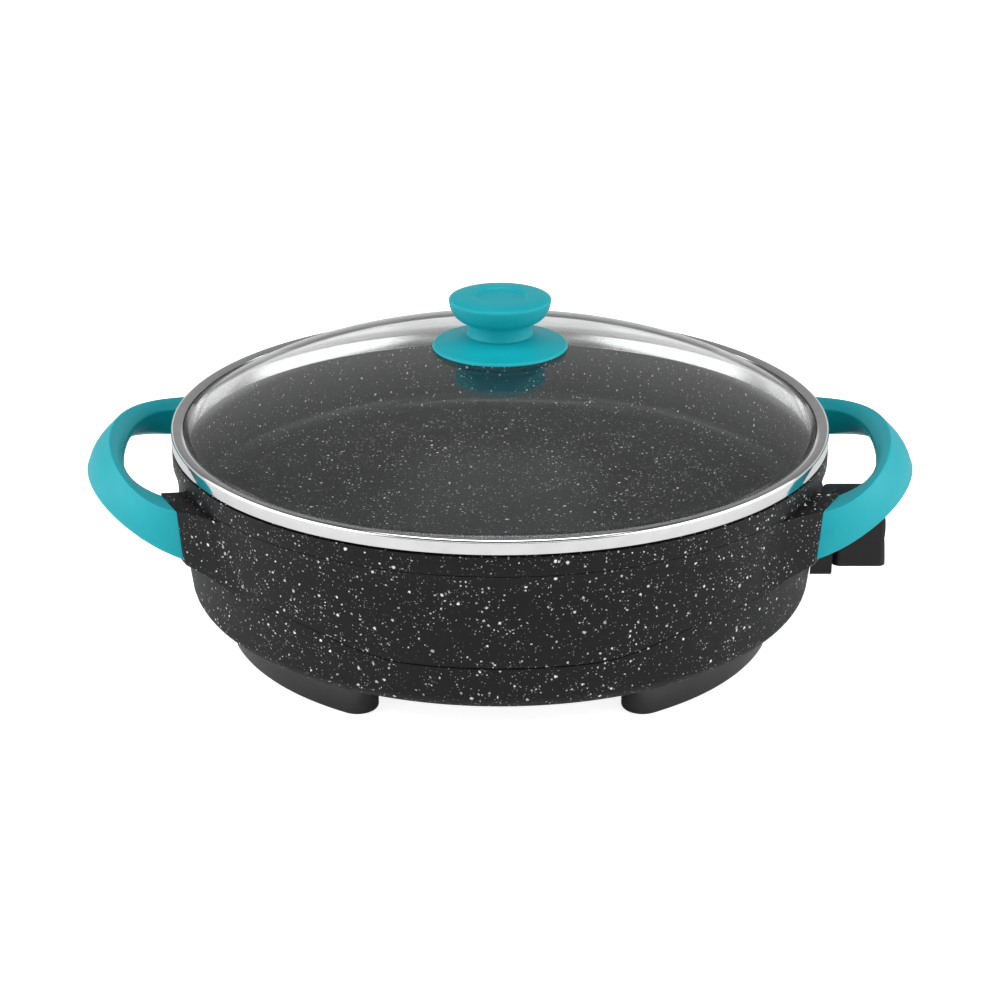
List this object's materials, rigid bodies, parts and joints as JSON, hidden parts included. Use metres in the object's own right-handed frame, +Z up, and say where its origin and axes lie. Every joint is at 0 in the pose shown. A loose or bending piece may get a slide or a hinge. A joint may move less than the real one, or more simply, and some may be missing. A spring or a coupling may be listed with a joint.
{
  "type": "electric skillet",
  "caption": "Round electric skillet with loop handles, curved feet, a lift-off domed glass lid with a mushroom knob, and a plug-in temperature control with a dial.",
  "frame": {"origin": "on the worktop, under the pan's axis", "axes": "+Z up along the pan's axis, +X through the right handle and the control, front faces -Y"},
  "size_m": [0.4176, 0.33, 0.1711],
  "materials": {
    "coat": "speckled non-stick coat on cast aluminium",
    "shell_coat": "speckled coat on pressed sheet",
    "teal": "satin moulded phenolic",
    "foot_black": "gloss moulded phenolic",
    "black": "fine moulded texture",
    "band_steel": "polished stainless band",
    "steel": "plain turned steel",
    "element_steel": "dull heat-darkened sheath",
    "sheet": "bright rolled sheet",
    "pillar": "plain turned",
    "glass": "clear tempered",
    "seal": "matt silicone",
    "brass": "plain",
    "ceramic": "unglazed steatite",
    "brown": "moulded phenolic",
    "lens": "clear red",
    "lamp": "clear neon envelope"
  },
  "bodies": {
    "cooker": {"pan": "coat", "base_shell": "shell_coat", "heat_shield": "sheet", "standoffs": "pillar", "heating_element": "element_steel", "terminal_bushes": "ceramic", "terminal_pins": "brass", "terminal_guard": "black", "guard_screws": "steel", "left_handle": "teal", "right_handle": "teal", "handle_screws": "steel", "foot_front_left": "foot_black", "foot_front_right": "foot_black", "foot_rear_left": "foot_black", "foot_rear_right": "foot_black", "foot_screws": "steel"},
    "lid": {"lid_rim": "band_steel", "lid_seal": "seal", "lid_glass": "glass", "knob_base": "teal", "knob": "teal", "knob_insert": "brass", "knob_washer": "steel", "knob_screw": "steel"},
    "control": {"control_base": "black", "control_cover": "black", "contact_block": "brown", "contact_sleeves": "brass", "temperature_probe": "steel", "thermostat_switch": "brown", "indicator_lamp": "lamp", "indicator_lens": "lens", "cord_gland": "black", "control_screws": "steel"},
    "dial": {"dial_spindle": "steel", "dial": "black"}
  },
  "joints": [
    {"name": "lid_lift", "type": "slide", "parent": "cooker", "child": "lid", "axis": [0, 0, 1], "range_m": [0, 0.12]},
    {"name": "control_pull", "type": "slide", "parent": "cooker", "child": "control", "axis": [1, 0, 0], "range_m": [0, 0.12]},
    {"name": "dial_turn", "type": "hinge", "parent": "control", "child": "dial", "pos_m": [0.182, 0, 0.0609], "axis": [0, 0, 1], "range_deg": [0, 270]}
  ]
}
